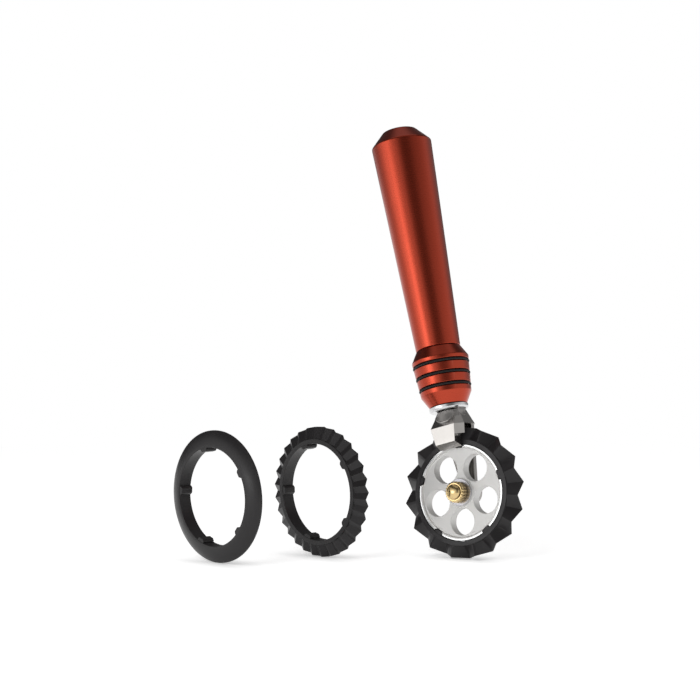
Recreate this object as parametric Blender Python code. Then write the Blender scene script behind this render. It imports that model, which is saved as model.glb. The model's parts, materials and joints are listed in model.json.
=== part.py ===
"""Pasta cutting wheel: a turned handle, a forked wheel holder and three swap-over cutter rings.

The tool is modelled about its wheel: x across the wheel, y from the front of the tool to its
back along the axle, z up along the handle. It is then leant over as it is held, with its wheel
on the same floor that the two spare rings stand on. The origin is where a hand holds the handle.
"""
import math

import bmesh
import bpy
from mathutils import Matrix, Vector

MM = 0.001
FULL_TURN = 2 * math.pi

# Gaps between pieces that seat on each other, and between the turning wheel and the fork
SEAT_GAP = 0.3 * MM
RUN_GAP = 0.8 * MM

# How the tool is held, and where the spare rings stand from the wheel's middle
TOOL_TURN = math.radians(10.6)
TOOL_TIP = math.radians(-7.2)
TOOL_LEAN = math.radians(-16.4)
WHEEL_ROLL = math.radians(9.0)
GRIP_RISE = 54.0 * MM
FINE_RING_LEFT = 49.0 * MM
FINE_RING_AHEAD = 44.0 * MM
FINE_RING_ROLL = math.radians(38.5)
SMOOTH_RING_LEFT = 67.8 * MM
SMOOTH_RING_AHEAD = 91.0 * MM
SMOOTH_RING_ROLL = math.radians(33.0)

# Cutter rings
RING_OUTER_RADIUS = 30.0 * MM
RING_BORE_RADIUS = 22.3 * MM
RING_WIDTH = 6.8 * MM
RING_LIP = 2.1 * MM
EDGE_WIDTH = 0.6 * MM
LAND_DROP = 0.3 * MM
FLUTE_DROP = 1.2 * MM
ZIGZAG_TEETH = 15
ZIGZAG_LAND = 2.2 * MM
FINE_TEETH = 30
FINE_SWING = 0.95 * MM
FINE_TOOTH_TURN = math.radians(7.0)
SMOOTH_LIP = 1.0 * MM
SMOOTH_NOSE = 2.6 * MM
SMOOTH_NOSE_WIDTH = 5.2 * MM
LUG_COUNT = 5
LUG_WIDTH = 4.2 * MM
LUG_HEIGHT = 1.6 * MM
LUG_CORNER = 0.9 * MM
LUG_ROOT = 0.8 * MM
LUG_INSET = 0.2 * MM

# Wheel disc, its bush and its holes
DISC_WIDTH = 6.6 * MM
DISC_RIM = 1.3 * MM
WEB_RECESS = 0.8 * MM
WEB_EDGE = 0.3 * MM
HUB_PROUD = 0.1 * MM
HUB_WALL = 1.7 * MM
BUSH_WALL = 1.5 * MM
HOLE_RIM_WALL = 0.8 * MM
HOLE_HUB_WALL = 0.5 * MM
SPOKE_WIDTH = 3.3 * MM

# Axle screw and the washers on it
AXLE_RADIUS = 2.5 * MM
THREAD_RADIUS = 2.0 * MM
WASHER_RADIUS = 6.2 * MM
WASHER_THICKNESS = 0.6 * MM
ARM_WASHER_RADIUS = 5.0 * MM
ARM_WASHER_THICKNESS = 0.8 * MM
KNOB_RADIUS = 4.9 * MM
KNOB_LENGTH = 4.4 * MM
KNOB_RIDGES = 22
KNOB_BEVEL = 0.4 * MM
KNURL_DEPTH = 0.45 * MM
DOME_RADIUS = 3.5 * MM
DOME_RISE = 1.7 * MM
DOME_GROOVE = 0.5 * MM

# Fork
NECK_RADIUS = 7.6 * MM
NECK_INSET = 1.2 * MM
YOKE_HEIGHT = 8.1 * MM
SHOULDER_WIDTH = 18.2 * MM
BACK_WIDTH = 15.0 * MM
BACK_CORNER = 2.6 * MM
YOKE_TOP_FRONT = 2.4 * MM
YOKE_TOP_BACK = 6.8 * MM
YOKE_TOP_FACE = 9.6 * MM
YOKE_TOP_WIDTH = 11.3 * MM
YOKE_TOP_BACK_WIDTH = 9.5 * MM
GUARD_FRONT = 8.9 * MM
GUARD_DROP = 8.0 * MM
GUARD_TOE = 2.2 * MM
GUARD_SINK = 0.5 * MM
FACE_TOP_WIDTH = 12.7 * MM
FACE_LOW_WIDTH = 10.4 * MM
BITE_RISE = 2.4 * MM
BITE_STEP = 0.9 * MM
BITE_WIDTH = 12.4 * MM
TOE_WIDTH = 11.6 * MM
ARM_THICKNESS = 3.1 * MM
ARM_TOP_WIDTH = 14.8 * MM
ARM_LOW_WIDTH = 6.6 * MM
ARM_EDGE = 0.6 * MM
ARM_BOSS_WALL = 3.1 * MM

# Flange, collar and its rubber rings
FLANGE_RADIUS = 8.9 * MM
FLANGE_THICKNESS = 1.5 * MM
FLANGE_EDGE = 0.4 * MM
COLLAR_END_RADIUS = 8.4 * MM
COLLAR_LOW_RADIUS = 11.95 * MM
COLLAR_TOP_RADIUS = 13.35 * MM
COLLAR_CHAMFER = 6.9 * MM
COLLAR_FLARE = 5.0 * MM
GROOVE_COUNT = 3
GROOVE_LAND = 3.8 * MM
GROOVE_MARGIN_LOW = 0.8 * MM
GROOVE_MARGIN_TOP = 1.7 * MM
GRIP_RING_SECTION = 0.55 * MM
GRIP_RING_PROUD = 0.2 * MM

# Handle, and the stud that draws it to the fork
HANDLE_LOW_RADIUS = 10.45 * MM
HANDLE_TOP_RADIUS = 14.3 * MM
HANDLE_END_RADIUS = 8.0 * MM
HANDLE_BODY = 100.7 * MM
HANDLE_CHAMFER = 6.8 * MM
HANDLE_EDGE = 0.6 * MM
STUD_RADIUS = 3.0 * MM
STUD_FLOOR = 1.5 * MM
STUD_DEPTH_HANDLE = 24.0 * MM

# Facets round a turned piece, steps along a curve, and the distance at which points are welded
WIDE_FACETS = 40
SMALL_FACETS = 28
RING_FACETS = 60
SECTION_FACETS = 6
NOSE_STEPS = 4
DOME_STEPS = 4
WELD = 0.0001 * MM

# Radii and places along the axle, worked out from the sizes above
WHEEL_HALF = max(RING_WIDTH, DISC_WIDTH) / 2
HUB_HALF = WHEEL_HALF + HUB_PROUD
BUSH_BORE = AXLE_RADIUS + SEAT_GAP
BUSH_RADIUS = BUSH_BORE + BUSH_WALL
HUB_BORE = BUSH_RADIUS + SEAT_GAP
HUB_RADIUS = HUB_BORE + HUB_WALL
DISC_RADIUS = RING_BORE_RADIUS - SEAT_GAP
SLOT_FRONT = -(WHEEL_HALF + RUN_GAP)
WASHER_BACK = -(HUB_HALF + SEAT_GAP)
WASHER_FRONT = WASHER_BACK - WASHER_THICKNESS
KNOB_BACK = WASHER_FRONT - SEAT_GAP
KNOB_FRONT = KNOB_BACK - KNOB_LENGTH
ARM_WASHER_FRONT = HUB_HALF + SEAT_GAP
ARM_WASHER_BACK = ARM_WASHER_FRONT + ARM_WASHER_THICKNESS
ARM_FRONT = ARM_WASHER_BACK + SEAT_GAP
ARM_BACK = ARM_FRONT + ARM_THICKNESS

# Heights up the handle, worked out from the sizes above
YOKE_BASE = RING_OUTER_RADIUS + RUN_GAP
FORK_TOP = YOKE_BASE + YOKE_HEIGHT
FLANGE_BASE = FORK_TOP + SEAT_GAP
FLANGE_TOP = FLANGE_BASE + FLANGE_THICKNESS
COLLAR_BASE = FLANGE_TOP + SEAT_GAP
COLLAR_LOW = COLLAR_BASE + COLLAR_CHAMFER
GROOVE_HALF = GRIP_RING_SECTION + SEAT_GAP
GROOVE_PITCH = GROOVE_LAND + 2 * GROOVE_HALF
GROOVE_FIRST = COLLAR_LOW + GROOVE_MARGIN_LOW + GROOVE_HALF
GROOVE_HEIGHTS = [GROOVE_FIRST + GROOVE_PITCH * index for index in range(GROOVE_COUNT)]
COLLAR_SHOULDER = GROOVE_HEIGHTS[-1] + GROOVE_HALF + GROOVE_MARGIN_TOP
COLLAR_TOP = COLLAR_SHOULDER + COLLAR_FLARE
HANDLE_BASE = COLLAR_TOP + SEAT_GAP
HANDLE_SHOULDER = HANDLE_BASE + HANDLE_BODY
HANDLE_TOP = HANDLE_SHOULDER + HANDLE_CHAMFER
STUD_BORE = STUD_RADIUS + SEAT_GAP
STUD_BASE = YOKE_BASE + STUD_FLOOR + SEAT_GAP
STUD_TOP = HANDLE_BASE + STUD_DEPTH_HANDLE


def clear_scene():
    for thing in list(bpy.data.objects):
        bpy.data.objects.remove(thing, do_unlink=True)


def finish(name, colour, roughness, metallic):
    """A plain Principled material."""
    made = bpy.data.materials.new(name)
    made.use_nodes = True
    shader = made.node_tree.nodes["Principled BSDF"]
    shader.inputs["Base Color"].default_value = (*colour, 1.0)
    shader.inputs["Roughness"].default_value = roughness
    shader.inputs["Metallic"].default_value = metallic
    return made


def empty(name, parent=None):
    made = bpy.data.objects.new(name, None)
    bpy.context.collection.objects.link(made)
    made.parent = parent
    return made


def add(name, shape, material, parent):
    """Put a finished bmesh into the scene as one named piece, smooth where it is round."""
    bmesh.ops.recalc_face_normals(shape, faces=shape.faces)
    mesh = bpy.data.meshes.new(name)
    shape.to_mesh(mesh)
    shape.free()
    mesh.shade_smooth()
    mesh.set_sharp_from_angle(angle=math.radians(30))
    if material:
        mesh.materials.append(material)
    made = bpy.data.objects.new(name, mesh)
    bpy.context.collection.objects.link(made)
    made.parent = parent
    return made


def combine(piece, operation, name, shape):
    """Join a helper shape to a piece, or cut it out of the piece."""
    helper = add(name, shape, None, piece.parent)
    helper.display_type = 'WIRE'
    helper.hide_render = True
    boolean = piece.modifiers.new(name, 'BOOLEAN')
    boolean.operation = operation
    boolean.solver = 'EXACT'
    boolean.object = helper


def turned(profile, facets, axis):
    """Spin a closed profile of (radius, place along the axis) points once round the axis."""
    shape = bmesh.new()
    corners = [shape.verts.new(Vector((radius, 0, 0)) + axis * place) for radius, place in profile]
    edges = []
    for index, corner in enumerate(corners):
        edges.append(shape.edges.new((corner, corners[(index + 1) % len(corners)])))
    bmesh.ops.spin(shape, geom=corners + edges, cent=(0, 0, 0), axis=axis, angle=FULL_TURN,
                   steps=facets, use_merge=True)
    bmesh.ops.remove_doubles(shape, verts=shape.verts, dist=WELD)
    bmesh.ops.dissolve_degenerate(shape, edges=shape.edges, dist=WELD)
    lone = [edge for edge in shape.edges if not edge.link_faces]
    bmesh.ops.delete(shape, geom=lone, context='EDGES')
    return shape


def loft(sections):
    """Skin a stack of outlines that have the same number of points, and cap both ends."""
    shape = bmesh.new()
    rings = [[shape.verts.new(point) for point in section] for section in sections]
    for low, high in zip(rings, rings[1:]):
        for index in range(len(low)):
            after = (index + 1) % len(low)
            shape.faces.new((low[index], low[after], high[after], high[index]))
    shape.faces.new(rings[0])
    shape.faces.new(rings[-1])
    return shape


def rod(radius, start, end, axis):
    return turned([(0, start), (radius, start), (radius, end), (0, end)], SMALL_FACETS, axis)


def washer(bore, radius, start, end):
    return turned([(bore, start), (radius, start), (radius, end), (bore, end)], WIDE_FACETS, AXLE)


def wheel_point(radius, angle, place):
    """A point on the wheel, its angle counted from x towards z."""
    return Vector((radius * math.cos(angle), place, radius * math.sin(angle)))


def lugs(inner, outer, width, length):
    """The driving lugs inside a ring, or the notches that they drop into."""
    shape = bmesh.new()
    side = width / 2
    corner = LUG_CORNER
    outline = [(outer, -side), (outer, side), (inner + corner, side), (inner, side - corner),
               (inner, corner - side), (inner + corner, -side)]
    for index in range(LUG_COUNT):
        turn = Matrix.Rotation(-FULL_TURN * index / LUG_COUNT, 3, 'Y')
        ends = []
        for place in (-length / 2, length / 2):
            ends.append([shape.verts.new(turn @ Vector((x, place, z))) for x, z in outline])
        for step in range(len(outline)):
            after = (step + 1) % len(outline)
            shape.faces.new((ends[0][step], ends[0][after], ends[1][after], ends[1][step]))
        shape.faces.new(ends[0])
        shape.faces.new(ends[1])
    return shape


def add_lugs(ring):
    inner = RING_BORE_RADIUS - LUG_HEIGHT
    outer = RING_BORE_RADIUS + LUG_ROOT
    combine(ring, 'UNION', ring.name + "_lugs", lugs(inner, outer, LUG_WIDTH, RING_WIDTH - 2 * LUG_INSET))


def flank(shape, first, last, roots, turn):
    """One side of half a tooth: triangles from two edge corners to the roots between them."""
    for index in range(turn):
        shape.faces.new((first, roots[index], roots[index + 1]))
    shape.faces.new((first, roots[turn], last))
    for index in range(turn, len(roots) - 1):
        shape.faces.new((last, roots[index], roots[index + 1]))


def toothed_ring(teeth, swing, land, start=0):
    """A cutter ring whose edge keeps one radius and zigzags between its front and its back.

    Flutes run from the plain lip out to the edge. Each starts in a step down from the lip, and
    flat lands of the given width, if any, lie between the flutes. The first tooth's front corner is
    at the start angle from a lug.
    """
    shape = bmesh.new()
    half = RING_WIDTH / 2
    lip = RING_BORE_RADIUS + RING_LIP
    half_pitch = math.pi / teeth
    land_angle = land / 2 / lip
    offsets = [0, half_pitch]
    if land:
        offsets = [0, land_angle, half_pitch - land_angle, half_pitch,
                   half_pitch + land_angle, 2 * half_pitch - land_angle]

    def drop(share):
        start = land_angle / half_pitch
        return LAND_DROP + (FLUTE_DROP - LAND_DROP) * max(0, share - start) / (1 - start)

    bore, lips, roots, edge = ([[], []] for _ in range(4))
    for tooth in range(teeth):
        for offset in offsets:
            angle = start + 2 * half_pitch * tooth + offset
            share = 1 - abs(offset / half_pitch - 1)
            for side, sign, depth in ((0, -1, drop(share)), (1, 1, drop(1 - share))):
                bore[side].append(shape.verts.new(wheel_point(RING_BORE_RADIUS, angle, sign * half)))
                lips[side].append(shape.verts.new(wheel_point(lip, angle, sign * half)))
                roots[side].append(shape.verts.new(wheel_point(lip, angle, sign * (half - depth))))
        for corner, middle in ((0, -swing), (half_pitch, swing)):
            angle = start + 2 * half_pitch * tooth + corner
            for side, sign in ((0, -1), (1, 1)):
                place = middle + sign * EDGE_WIDTH / 2
                edge[side].append(shape.verts.new(wheel_point(RING_OUTER_RADIUS, angle, place)))

    count = len(bore[0])
    for index in range(count):
        after = (index + 1) % count
        shape.faces.new((bore[0][index], bore[0][after], bore[1][after], bore[1][index]))
        for side in (0, 1):
            for inner, outer in ((bore[side], lips[side]), (lips[side], roots[side])):
                shape.faces.new((inner[index], inner[after], outer[after], outer[index]))
    per_half = len(offsets) // 2
    far_turn = (per_half + 1) // 2
    corners = len(edge[0])
    for index in range(corners):
        after = (index + 1) % corners
        shape.faces.new((edge[0][index], edge[0][after], edge[1][after], edge[1][index]))
        for side in (0, 1):
            between = [roots[side][(index * per_half + step) % count] for step in range(per_half + 1)]
            turn = far_turn if index % 2 == side else far_turn - 1
            flank(shape, edge[side][index], edge[side][after], between, turn)
    return shape


def smooth_ring():
    """A cutter ring with a plain round edge: its sides bow over a nose to a thin edge."""
    half = RING_WIDTH / 2
    start = Vector((RING_BORE_RADIUS + SMOOTH_LIP, half))
    nose = Vector((RING_OUTER_RADIUS - SMOOTH_NOSE, SMOOTH_NOSE_WIDTH / 2))
    end = Vector((RING_OUTER_RADIUS, EDGE_WIDTH / 2))
    side = []
    for step in range(NOSE_STEPS + 1):
        share = step / NOSE_STEPS
        side.append(start.lerp(nose, share).lerp(nose.lerp(end, share), share))
    profile = [(RING_BORE_RADIUS, -half), (RING_BORE_RADIUS, half)]
    profile += [(point.x, point.y) for point in side]
    profile += [(point.x, -point.y) for point in reversed(side)]
    return turned(profile, RING_FACETS, AXLE)


def wheel_disc():
    """The disc before it is pierced: hub, recessed web and raised rim."""
    rim = DISC_RADIUS - DISC_RIM
    rim_half = DISC_WIDTH / 2
    web_half = rim_half - WEB_RECESS
    front = [(HUB_BORE, -HUB_HALF), (HUB_RADIUS, -HUB_HALF), (HUB_RADIUS + WEB_EDGE, -web_half),
             (rim - WEB_EDGE, -web_half), (rim, -rim_half), (DISC_RADIUS, -rim_half)]
    back = [(radius, -place) for radius, place in reversed(front)]
    return turned(front + back, RING_FACETS, AXLE)


def disc_holes():
    """Round holes midway between the lugs, as large as the hub, the rim and the spokes leave."""
    shape = bmesh.new()
    inner = HUB_RADIUS + WEB_EDGE + HOLE_HUB_WALL
    outer = DISC_RADIUS - DISC_RIM - WEB_EDGE - HOLE_RIM_WALL
    pitch_radius = (inner + outer) / 2
    spoke_limit = pitch_radius * math.sin(math.pi / LUG_COUNT) - SPOKE_WIDTH / 2
    radius = min((outer - inner) / 2, spoke_limit)
    for index in range(LUG_COUNT):
        middle = wheel_point(pitch_radius, FULL_TURN * (index + 0.5) / LUG_COUNT, 0)
        place = Matrix.Translation(middle) @ Matrix.Rotation(math.pi / 2, 4, 'X')
        bmesh.ops.create_cone(shape, cap_ends=True, segments=SMALL_FACETS, radius1=radius,
                              radius2=radius, depth=2 * DISC_WIDTH, matrix=place)
    return shape


def disc_notches():
    inner = RING_BORE_RADIUS - LUG_HEIGHT - SEAT_GAP
    outer = RING_BORE_RADIUS + LUG_ROOT
    return lugs(inner, outer, LUG_WIDTH + 2 * SEAT_GAP, 2 * DISC_WIDTH)


def axle_screw():
    """The thumb screw: thread, plain axle, knurled head and domed end, from back to front."""
    count = 2 * KNOB_RIDGES
    valley = KNOB_RADIUS - KNURL_DEPTH
    knob_end = valley - KNOB_BEVEL
    stem = DOME_RADIUS - DOME_GROOVE
    dome_base = KNOB_FRONT - DOME_GROOVE
    shoulder = ARM_FRONT - SEAT_GAP

    def outline(radius, place, between=None):
        radii = (radius, radius if between is None else between)
        return [wheel_point(radii[index % 2], FULL_TURN * index / count, place) for index in range(count)]

    sections = [outline(THREAD_RADIUS, ARM_BACK - SEAT_GAP),
                outline(THREAD_RADIUS, shoulder),
                outline(AXLE_RADIUS, shoulder),
                outline(AXLE_RADIUS, KNOB_BACK),
                outline(knob_end, KNOB_BACK),
                outline(KNOB_RADIUS, KNOB_BACK - KNOB_BEVEL, valley),
                outline(KNOB_RADIUS, KNOB_FRONT + KNOB_BEVEL, valley),
                outline(knob_end, KNOB_FRONT),
                outline(stem, KNOB_FRONT),
                outline(stem, dome_base)]
    for step in range(DOME_STEPS):
        angle = math.pi / 2 * step / DOME_STEPS
        sections.append(outline(DOME_RADIUS * math.cos(angle), dome_base - DOME_RISE * math.sin(angle)))
    return loft(sections)


def yoke():
    """The faceted body over the wheel: eight flat sides that draw in towards the round neck."""
    front_slope = 2 * (GUARD_FRONT + SLOT_FRONT) / (SHOULDER_WIDTH - FACE_TOP_WIDTH)
    back_slope = 2 * BACK_CORNER / (SHOULDER_WIDTH - BACK_WIDTH)

    def outline(height, face, front, side, back, rear):
        side_front = front_slope * (side - face) / 2 - front
        side_back = rear - back_slope * (side - back) / 2
        right = [(face / 2, -front), (side / 2, side_front), (side / 2, side_back), (back / 2, rear)]
        left = [(-x, y) for x, y in reversed(right)]
        return [Vector((x, y, height)) for x, y in right + left]

    base = outline(YOKE_BASE, FACE_TOP_WIDTH, GUARD_FRONT, SHOULDER_WIDTH, BACK_WIDTH, ARM_BACK)
    top = outline(FORK_TOP - SEAT_GAP, YOKE_TOP_FACE, YOKE_TOP_FRONT, YOKE_TOP_WIDTH,
                  YOKE_TOP_BACK_WIDTH, YOKE_TOP_BACK)
    return loft([base, top])


def guard():
    """The short guard that hangs in front of the ring: a keystone with bitten lower corners."""
    low = YOKE_BASE - GUARD_DROP

    def section(height, width=None, inset=0, drop=0):
        share = min(1, (height - low) / GUARD_DROP)
        face = FACE_LOW_WIDTH + share * (FACE_TOP_WIDTH - FACE_LOW_WIDTH)
        if width is None:
            width = face + SHOULDER_WIDTH - FACE_TOP_WIDTH
        half_face = face / 2 - inset
        half_width = width / 2 - inset
        front = inset - GUARD_FRONT
        return [Vector((-half_face, front, height)), Vector((half_face, front, height)),
                Vector((half_width, SLOT_FRONT, height - drop)),
                Vector((-half_width, SLOT_FRONT, height - drop))]

    return loft([section(low, TOE_WIDTH, drop=GUARD_TOE),
                 section(low + BITE_RISE, BITE_WIDTH),
                 section(low + BITE_RISE + BITE_STEP),
                 section(YOKE_BASE),
                 section(YOKE_BASE + GUARD_SINK, inset=GUARD_SINK)])


def arm():
    """The long rear arm, tapering down to the axle, with its back edges broken."""
    def section(height, width):
        half = width / 2
        inner = half - ARM_EDGE
        return [Vector((-half, ARM_FRONT, height)), Vector((half, ARM_FRONT, height)),
                Vector((half, ARM_BACK - ARM_EDGE, height)), Vector((inner, ARM_BACK, height)),
                Vector((-inner, ARM_BACK, height)), Vector((-half, ARM_BACK - ARM_EDGE, height))]

    return loft([section(0, ARM_LOW_WIDTH), section(YOKE_BASE, ARM_TOP_WIDTH),
                 section(YOKE_BASE + GUARD_SINK, ARM_TOP_WIDTH - 2 * GUARD_SINK)])


def arm_boss():
    """The round end of the arm, which the axle screws into."""
    radius = THREAD_RADIUS + SEAT_GAP + ARM_BOSS_WALL
    return turned([(0, ARM_FRONT), (radius, ARM_FRONT), (radius, ARM_BACK - ARM_EDGE),
                   (radius - ARM_EDGE, ARM_BACK), (0, ARM_BACK)], SMALL_FACETS, AXLE)


def neck_flange():
    rim = FLANGE_RADIUS - FLANGE_EDGE
    return turned([(STUD_BORE, FLANGE_BASE), (rim, FLANGE_BASE), (FLANGE_RADIUS, FLANGE_BASE + FLANGE_EDGE),
                   (FLANGE_RADIUS, FLANGE_TOP - FLANGE_EDGE), (rim, FLANGE_TOP), (STUD_BORE, FLANGE_TOP)],
                  WIDE_FACETS, STEM)


def collar_radius(height):
    share = (height - COLLAR_LOW) / (COLLAR_SHOULDER - COLLAR_LOW)
    return COLLAR_LOW_RADIUS + share * (COLLAR_TOP_RADIUS - COLLAR_LOW_RADIUS)


def grip_ring_radius(height):
    """Radius to the middle of a rubber ring's section, which stands a little proud of the collar."""
    return collar_radius(height) + GRIP_RING_PROUD - GRIP_RING_SECTION


def grip_collar():
    """The collar: a cone from the flange, a grooved grip and a cone up to the handle."""
    profile = [(STUD_BORE, COLLAR_BASE), (COLLAR_END_RADIUS, COLLAR_BASE), (COLLAR_LOW_RADIUS, COLLAR_LOW)]
    for height in GROOVE_HEIGHTS:
        low = height - GROOVE_HALF
        high = height + GROOVE_HALF
        floor = grip_ring_radius(height) - GROOVE_HALF
        profile += [(collar_radius(low), low), (floor, low), (floor, high), (collar_radius(high), high)]
    profile += [(COLLAR_TOP_RADIUS, COLLAR_SHOULDER), (HANDLE_LOW_RADIUS, COLLAR_TOP),
                (STUD_BORE, COLLAR_TOP)]
    return turned(profile, WIDE_FACETS, STEM)


def grip_ring(height):
    profile = []
    for index in range(SECTION_FACETS):
        angle = FULL_TURN * index / SECTION_FACETS
        radius = grip_ring_radius(height) + GRIP_RING_SECTION * math.cos(angle)
        profile.append((radius, height + GRIP_RING_SECTION * math.sin(angle)))
    return turned(profile, WIDE_FACETS, STEM)


def handle_grip():
    """The handle: a long taper, a chamfered top end and a blind hole for the stud."""
    hole_top = STUD_TOP + SEAT_GAP
    return turned([(STUD_BORE, HANDLE_BASE), (HANDLE_LOW_RADIUS, HANDLE_BASE),
                   (HANDLE_TOP_RADIUS, HANDLE_SHOULDER),
                   (HANDLE_END_RADIUS + HANDLE_EDGE, HANDLE_TOP - HANDLE_EDGE),
                   (HANDLE_END_RADIUS, HANDLE_TOP), (0, HANDLE_TOP), (0, hole_top), (STUD_BORE, hole_top)],
                  WIDE_FACETS, STEM)


def lowest_edge(turn):
    """Height of the zigzag edge's lowest corner from the wheel's middle, on the leaning tool."""
    heights = []
    for corner in range(2 * ZIGZAG_TEETH):
        angle = math.pi * corner / ZIGZAG_TEETH + WHEEL_ROLL
        place = RING_WIDTH / 2 if corner % 2 else -RING_WIDTH / 2
        heights.append((turn @ wheel_point(RING_OUTER_RADIUS, angle, place)).z)
    return min(heights)


STEM = Vector((0, 0, 1))
AXLE = Vector((0, 1, 0))

clear_scene()

red_anodised = finish("red_anodised", (0.48, 0.04, 0.014), 0.28, 0.9)
black_rubber = finish("black_rubber", (0.012, 0.012, 0.013), 0.6, 0.0)
polished_steel = finish("polished_steel", (0.62, 0.62, 0.63), 0.12, 1.0)
plated_casting = finish("plated_casting", (0.55, 0.54, 0.53), 0.1, 1.0)
turned_aluminium = finish("turned_aluminium", (0.72, 0.72, 0.72), 0.35, 1.0)
black_nylon = finish("black_nylon", (0.018, 0.018, 0.019), 0.45, 0.0)
brass = finish("brass", (0.62, 0.42, 0.13), 0.22, 1.0)
bearing_plastic = finish("bearing_plastic", (0.7, 0.68, 0.62), 0.5, 0.0)

# The tool leans about its wheel, and the wheel is rolled on its axle
tool = empty("tool_frame")
tool.rotation_mode = 'YXZ'
tool.rotation_euler = (TOOL_TIP, TOOL_LEAN, TOOL_TURN)
tool_turn = tool.rotation_euler.to_matrix()
tool.location = tool_turn @ Vector((0, 0, -(HANDLE_BASE + GRIP_RISE)))
wheel = empty("wheel_frame", tool)
wheel.rotation_euler = (0, -WHEEL_ROLL, 0)

# Handle, collar and flange, and the stud that draws them to the fork
add("handle_grip", handle_grip(), red_anodised, tool)
add("grip_collar", grip_collar(), red_anodised, tool)
for number, groove_height in enumerate(GROOVE_HEIGHTS, start=1):
    add(f"grip_ring_{number}", grip_ring(groove_height), black_rubber, tool)
add("neck_flange", neck_flange(), polished_steel, tool)
add("tie_stud", rod(STUD_RADIUS, STUD_BASE, STUD_TOP, STEM), polished_steel, tool)

# Fork: neck, yoke, guard and arm in one casting
fork = add("fork", turned([(0, YOKE_BASE + NECK_INSET), (NECK_RADIUS, YOKE_BASE + NECK_INSET),
                           (NECK_RADIUS, FORK_TOP), (0, FORK_TOP)], WIDE_FACETS, STEM), plated_casting, tool)
combine(fork, 'UNION', "fork_yoke", yoke())
combine(fork, 'UNION', "fork_guard", guard())
combine(fork, 'UNION', "fork_arm", arm())
combine(fork, 'UNION', "fork_boss", arm_boss())
combine(fork, 'DIFFERENCE', "fork_axle_hole",
        rod(THREAD_RADIUS + SEAT_GAP, ARM_FRONT - RUN_GAP, ARM_BACK + RUN_GAP, AXLE))
combine(fork, 'DIFFERENCE', "fork_stud_hole", rod(STUD_BORE, STUD_BASE - SEAT_GAP, FORK_TOP + RUN_GAP, STEM))

# Wheel: the disc, its bush and the ring that is fitted
disc = add("wheel_disc", wheel_disc(), turned_aluminium, wheel)
combine(disc, 'DIFFERENCE', "disc_holes", disc_holes())
combine(disc, 'DIFFERENCE', "disc_notches", disc_notches())
add("hub_bush", washer(BUSH_BORE, BUSH_RADIUS, -HUB_HALF, HUB_HALF), bearing_plastic, wheel)
zigzag_swing = (RING_WIDTH - EDGE_WIDTH) / 2
add_lugs(add("zigzag_ring", toothed_ring(ZIGZAG_TEETH, zigzag_swing, ZIGZAG_LAND), black_nylon, wheel))

# Axle screw, the washer under its head and the washer against the arm
add("axle_screw", axle_screw(), brass, tool)
for name, radius, start, end in (("axle_washer", WASHER_RADIUS, WASHER_FRONT, WASHER_BACK),
                                 ("arm_washer", ARM_WASHER_RADIUS, ARM_WASHER_FRONT, ARM_WASHER_BACK)):
    add(name, washer(BUSH_BORE, radius, start, end), polished_steel, tool)

# Spare rings, standing on the floor beside the wheel
spare_height = tool.location.z + lowest_edge(tool_turn) + RING_OUTER_RADIUS
for name, shape, left, ahead, roll in (
        ("smooth_ring", smooth_ring(), SMOOTH_RING_LEFT, SMOOTH_RING_AHEAD, SMOOTH_RING_ROLL),
        ("fine_ring", toothed_ring(FINE_TEETH, FINE_SWING, 0, FINE_TOOTH_TURN), FINE_RING_LEFT,
         FINE_RING_AHEAD, FINE_RING_ROLL)):
    stand = empty(name + "_frame")
    stand.location = (tool.location.x - left, tool.location.y - ahead, spare_height)
    stand.rotation_euler = (0, -roll, 0)
    add_lugs(add(name, shape, black_nylon, stand))
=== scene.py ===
import json
import math

import bmesh
import bpy
from mathutils import Matrix, Vector


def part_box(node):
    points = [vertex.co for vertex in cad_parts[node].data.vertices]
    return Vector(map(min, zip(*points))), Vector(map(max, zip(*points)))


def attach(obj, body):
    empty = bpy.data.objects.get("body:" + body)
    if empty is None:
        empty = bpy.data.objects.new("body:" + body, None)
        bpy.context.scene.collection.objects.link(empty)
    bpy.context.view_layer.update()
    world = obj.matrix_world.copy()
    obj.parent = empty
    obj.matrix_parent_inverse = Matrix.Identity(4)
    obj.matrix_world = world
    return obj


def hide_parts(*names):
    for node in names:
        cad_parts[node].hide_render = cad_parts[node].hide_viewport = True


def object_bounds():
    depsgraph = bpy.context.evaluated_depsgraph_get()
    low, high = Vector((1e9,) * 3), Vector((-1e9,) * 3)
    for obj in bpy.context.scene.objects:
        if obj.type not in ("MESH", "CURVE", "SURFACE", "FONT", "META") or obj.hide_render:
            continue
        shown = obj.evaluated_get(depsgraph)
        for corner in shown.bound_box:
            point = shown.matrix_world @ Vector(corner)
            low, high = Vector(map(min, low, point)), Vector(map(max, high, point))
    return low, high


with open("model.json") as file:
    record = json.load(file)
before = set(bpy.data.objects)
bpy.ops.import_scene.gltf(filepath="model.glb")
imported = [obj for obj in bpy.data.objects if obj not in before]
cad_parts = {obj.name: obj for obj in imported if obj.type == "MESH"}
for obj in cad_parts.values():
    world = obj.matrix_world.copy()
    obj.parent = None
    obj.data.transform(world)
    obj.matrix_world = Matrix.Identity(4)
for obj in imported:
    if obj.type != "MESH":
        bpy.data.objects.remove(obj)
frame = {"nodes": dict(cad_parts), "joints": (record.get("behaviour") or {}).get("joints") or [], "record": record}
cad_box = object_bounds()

# Fork: the plated casting that holds the wheel, with a faceted yoke, a short guard in front of the ring
# and a long arm behind it. It is cast in one piece, so its edges are softened before it is plated.
MM = 0.001
FULL_TURN = 2 * math.pi
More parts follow.
